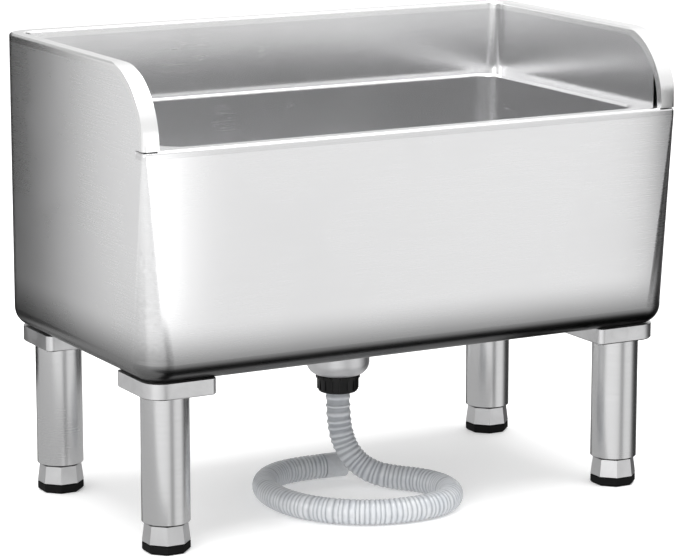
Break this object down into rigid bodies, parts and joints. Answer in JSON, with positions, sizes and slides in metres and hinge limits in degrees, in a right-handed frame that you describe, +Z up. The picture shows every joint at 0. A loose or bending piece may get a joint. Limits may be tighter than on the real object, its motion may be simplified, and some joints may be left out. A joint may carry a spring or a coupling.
{
  "type": "pet bathtub",
  "caption": "Raised stainless pet wash tub with a curved three-sided splash guard, levelling legs, a basket-strainer drain and a corrugated drain hose.",
  "frame": {"origin": "on the floor under the middle of the tub", "axes": "+X to the right seen from the front, +Y to the back, +Z up"},
  "size_m": [0.6, 0.3404, 0.478],
  "materials": {
    "satin_steel": "satin brushed",
    "galvanised_steel": "plain",
    "grey_rubber": "matt",
    "bright_steel": "bright",
    "polished_steel": "polished",
    "white_plastic": "moulded",
    "black_plastic": "moulded",
    "hose_plastic": "translucent, corrugated",
    "cast_aluminium": "satin cast",
    "brushed_tube": "brushed along the tube",
    "foot_steel": "faceted satin",
    "black_rubber": "matt"
  },
  "bodies": {
    "tub": {"outer_shell": "satin_steel", "splash_liner": "satin_steel", "guard_cap": "satin_steel", "basin": "satin_steel", "service_cover": "satin_steel", "cover_screws": "bright_steel", "support_channel_left": "galvanised_steel", "support_channel_right": "galvanised_steel", "channel_pad_left": "grey_rubber", "channel_pad_right": "grey_rubber", "corner_plates": "galvanised_steel", "leg_screws": "bright_steel", "strainer_body": "polished_steel", "flange_gasket": "grey_rubber", "under_gasket": "grey_rubber", "backnut": "white_plastic", "coupling_nut": "black_plastic", "hose_spigot": "black_plastic", "spigot_washer": "grey_rubber", "drain_hose": "hose_plastic", "hose_cuff": "hose_plastic", "leg_block_front_left": "cast_aluminium", "leg_tube_front_left": "brushed_tube", "leg_stud_front_left": "bright_steel", "leg_insert_front_left": "black_plastic", "leg_block_front_right": "cast_aluminium", "leg_tube_front_right": "brushed_tube", "leg_stud_front_right": "bright_steel", "leg_insert_front_right": "black_plastic", "leg_block_rear_left": "cast_aluminium", "leg_tube_rear_left": "brushed_tube", "leg_stud_rear_left": "bright_steel", "leg_insert_rear_left": "black_plastic", "leg_block_rear_right": "cast_aluminium", "leg_tube_rear_right": "brushed_tube", "leg_stud_rear_right": "bright_steel", "leg_insert_rear_right": "black_plastic"},
    "pad_front_left": {"foot_pad_front_left": "black_rubber"},
    "foot_front_left": {"foot_body_front_left": "foot_steel"},
    "pad_front_right": {"foot_pad_front_right": "black_rubber"},
    "foot_front_right": {"foot_body_front_right": "foot_steel"},
    "pad_rear_left": {"foot_pad_rear_left": "black_rubber"},
    "foot_rear_left": {"foot_body_rear_left": "foot_steel"},
    "pad_rear_right": {"foot_pad_rear_right": "black_rubber"},
    "foot_rear_right": {"foot_body_rear_right": "foot_steel"},
    "strainer": {"strainer_basket": "polished_steel", "strainer_post": "bright_steel", "strainer_seal": "grey_rubber"}
  },
  "joints": [
    {"name": "foot_height_front_left", "type": "slide", "parent": "tub", "child": "pad_front_left", "axis": [0, 0, -1], "range_m": [0, 0.012]},
    {"name": "foot_screw_front_left", "type": "hinge", "parent": "pad_front_left", "child": "foot_front_left", "pos_m": [-0.26, -0.127, 0.02], "axis": [0, 0, 1], "range_deg": [0, 2160]},
    {"name": "foot_height_front_right", "type": "slide", "parent": "tub", "child": "pad_front_right", "axis": [0, 0, -1], "range_m": [0, 0.012]},
    {"name": "foot_screw_front_right", "type": "hinge", "parent": "pad_front_right", "child": "foot_front_right", "pos_m": [0.26, -0.127, 0.02], "axis": [0, 0, 1], "range_deg": [0, 2160]},
    {"name": "foot_height_rear_left", "type": "slide", "parent": "tub", "child": "pad_rear_left", "axis": [0, 0, -1], "range_m": [0, 0.012]},
    {"name": "foot_screw_rear_left", "type": "hinge", "parent": "pad_rear_left", "child": "foot_rear_left", "pos_m": [-0.26, 0.127, 0.02], "axis": [0, 0, 1], "range_deg": [0, 2160]},
    {"name": "foot_height_rear_right", "type": "slide", "parent": "tub", "child": "pad_rear_right", "axis": [0, 0, -1], "range_m": [0, 0.012]},
    {"name": "foot_screw_rear_right", "type": "hinge", "parent": "pad_rear_right", "child": "foot_rear_right", "pos_m": [0.26, 0.127, 0.02], "axis": [0, 0, 1], "range_deg": [0, 2160]},
    {"name": "strainer_lift", "type": "slide", "parent": "tub", "child": "strainer", "axis": [0, 0, 1], "range_m": [0, 0.37]}
  ],
  "couplings": [
    {"joint": "foot_height_front_left", "follows": "foot_screw_front_left", "m_per_rad": 0.00031831},
    {"joint": "foot_height_front_right", "follows": "foot_screw_front_right", "m_per_rad": 0.00031831},
    {"joint": "foot_height_rear_left", "follows": "foot_screw_rear_left", "m_per_rad": 0.00031831},
    {"joint": "foot_height_rear_right", "follows": "foot_screw_rear_right", "m_per_rad": 0.00031831}
  ]
}
